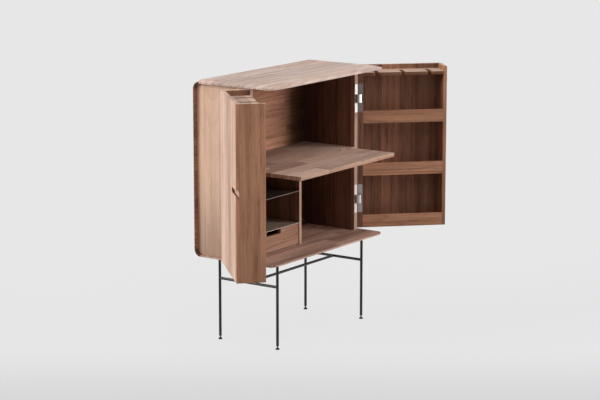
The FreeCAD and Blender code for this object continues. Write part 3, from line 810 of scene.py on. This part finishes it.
def cut_cross(screw, head_r, countersink):
    """Three by three fields inside a ring, of which the middle row and column sink and taper."""
    reach = CROSS_REACH * head_r
    half = CROSS_HALF * head_r

    def on_head(at):
        return at.z > -HAIR

    def in_ring(at):
        return on_head(at) and at.xy.length < reach

    def on_cross(at):
        return in_ring(at) and min(abs(at.x), abs(at.y)) < half

    pick_faces(screw, on_head)
    bpy.ops.mesh.inset(thickness=head_r - reach)
    for way in (ALONG_X, ALONG_Y):
        for side in (-1, 1):
            pick_faces(screw, in_ring)
            bpy.ops.mesh.bisect(plane_co=Vector(way) * (side * half), plane_no=way)
    pick_faces(screw, on_cross)
    sink = (0, 0, -CROSS_DEPTH * countersink)
    bpy.ops.mesh.extrude_region_move(TRANSFORM_OT_translate={"value": sink})
    bpy.ops.transform.resize(value=(CROSS_TAPER, CROSS_TAPER, 1))


def pin_heads(name, into):
    """The middle of each pin's head, where the pins of a node point along 'into'."""
    bpy.ops.object.select_all(action="DESELECT")
    pins = nodes[name].copy()
    pins.data = nodes[name].data.copy()
    bpy.context.scene.collection.objects.link(pins)
    pins.select_set(True)
    bpy.context.view_layer.objects.active = pins
    bpy.ops.object.mode_set(mode="EDIT")
    bpy.ops.mesh.select_all(action="SELECT")
    bpy.ops.mesh.remove_doubles(threshold=MERGED)
    bpy.ops.mesh.separate(type="LOOSE")
    bpy.ops.object.mode_set(mode="OBJECT")
    heads = []
    for pin in bpy.context.selected_objects:
        points = [point.co for point in pin.data.vertices]
        start = min(point.dot(into) for point in points)
        rim = [point for point in points if point.dot(into) < start + HAIR]
        heads.append(sum(rim, Vector()) / len(rim))
    bpy.ops.object.delete()
    return heads


def set_screws(piece, node, body, finish, sizes, into):
    into = Vector(into)
    turn = into.to_track_quat("-Z", "Y").to_matrix().to_4x4()
    first = cross_screw(*sizes)
    copies = []
    for number, head in enumerate(pin_heads(node, into)):
        copy = first.copy()
        copy.data = first.data.copy()
        bpy.context.scene.collection.objects.link(copy)
        spin = Matrix.Rotation(NEXT_TURN * number, 4, "Z")
        copy.data.transform(Matrix.Translation(head) @ turn @ spin)
        copies.append(copy)
    bpy.data.objects.remove(first)
    bpy.ops.object.select_all(action="DESELECT")
    for copy in copies:
        copy.select_set(True)
    bpy.context.view_layer.objects.active = copies[0]
    bpy.ops.object.join()
    screws = bpy.context.object
    screws.name = piece
    screws.data.materials.clear()
    screws.data.materials.append(finish)
    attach(screws, body)
    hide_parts(node)


set_screws(
    "cabinet_cross_screws", "cabinet_hinge_screws", "cabinet", painted_bright_plating, LARGE_SCREW, ALONG_Y
)
for label, side in DOORS:
    set_screws(
        label + "_door_cross_screws", label + "_door_hinge_screws", label + "_door", painted_dark_plating,
        LARGE_SCREW, (side * SLANT_Y, SLANT_X, 0),
    )
set_screws(
    "leg_plate_cross_screws", "leg_plate_screws", "cabinet", bare_steel, PLATE_SCREW, ALONG_Z
)
set_screws(
    "shelf_leaf_cross_screws", "flap_hinge_shelf_screws", "cabinet", brown_coat,
    SMALL_SCREW, DOWN,
)
set_screws(
    "flap_leaf_cross_screws", "flap_hinge_screws", "flap", brown_coat, SMALL_SCREW, DOWN
)


def seen_directly(start):
    """1 for rays from the camera, off gloss and through glass, and 0 for light on the object."""
    rays = ("Is Camera Ray", "Is Glossy Ray", "Is Transmission Ray")
    camera, gloss, through = (start.node("ShaderNodeLightPath", None, None, ray) for ray in rays)
    total = camera + gloss + through
    return total.maths("MINIMUM", total, 1.0)


def pale_floor():
    bpy.ops.object.select_all(action="DESELECT")
    bpy.ops.mesh.primitive_plane_add(size=FLOOR_SIZE, location=(0, 0, 0))
    floor = bpy.context.object
    floor.name = "studio_floor"
    material, shader, place = new_finish("pale_floor")
    tree = material.node_tree
    feed(shader, {"Base Color": FLOOR_TONE, "Roughness": 0.9, "Specular IOR Level": 0.1})
    x, y = place.split()[:2]
    beyond = (x * FLOOR_WAY[0] + y * FLOOR_WAY[1]).between(*FLOOR_TURN)
    pale = beyond.mix(FLOOR_NEAR, FLOOR_FAR)
    glow = place.node("ShaderNodeEmission", None, {"Color": pale, "Strength": 1.0})
    mixed = place.node("ShaderNodeMixShader", None, {0: seen_directly(place) * FLOOR_GLOW, 2: glow})
    tree.links.new(shader.outputs[0], mixed.output.node.inputs[1])
    tree.links.new(mixed.output, tree.nodes["Material Output"].inputs["Surface"])
    floor.data.materials.append(material)


def pale_surround():
    world = bpy.data.worlds.new("studio_surround")
    bpy.context.scene.world = world
    world.use_nodes = True
    tree = world.node_tree
    fill = tree.nodes["Background"]
    fill.inputs["Color"].default_value = SKY_TONE
    seen = seen_directly(Socket(tree, fill.outputs[0]))
    strength = SKY_FILL + seen * (PALE_WALL - SKY_FILL)
    tree.links.new(strength.output, fill.inputs["Strength"])


def soft_sun(name, towards, strength, spread):
    """A large soft source in the direction 'towards'; a strength of 1 shows a colour as it is."""
    lamp = bpy.data.lights.new(name, "SUN")
    lamp.energy = strength * math.pi
    lamp.angle = math.radians(spread)
    source = bpy.data.objects.new(name, lamp)
    source.rotation_euler = Vector(towards).to_track_quat("Z", "Y").to_euler()
    bpy.context.scene.collection.objects.link(source)


def viewpoint():
    camera = bpy.data.cameras.new("photo_camera")
    camera.lens = CAMERA_LENS
    camera.sensor_width = CAMERA_SENSOR
    camera.sensor_fit = "HORIZONTAL"
    viewer = bpy.data.objects.new("photo_camera", camera)
    viewer.location = CAMERA_PLACE
    viewer.rotation_euler = [math.radians(a) for a in CAMERA_TURN]
    bpy.context.scene.collection.objects.link(viewer)
    bpy.context.scene.camera = viewer


pale_floor()
pale_surround()
for lamp in LAMPS:
    soft_sun(*lamp)
viewpoint()
bpy.context.scene.view_settings.view_transform = "Standard"
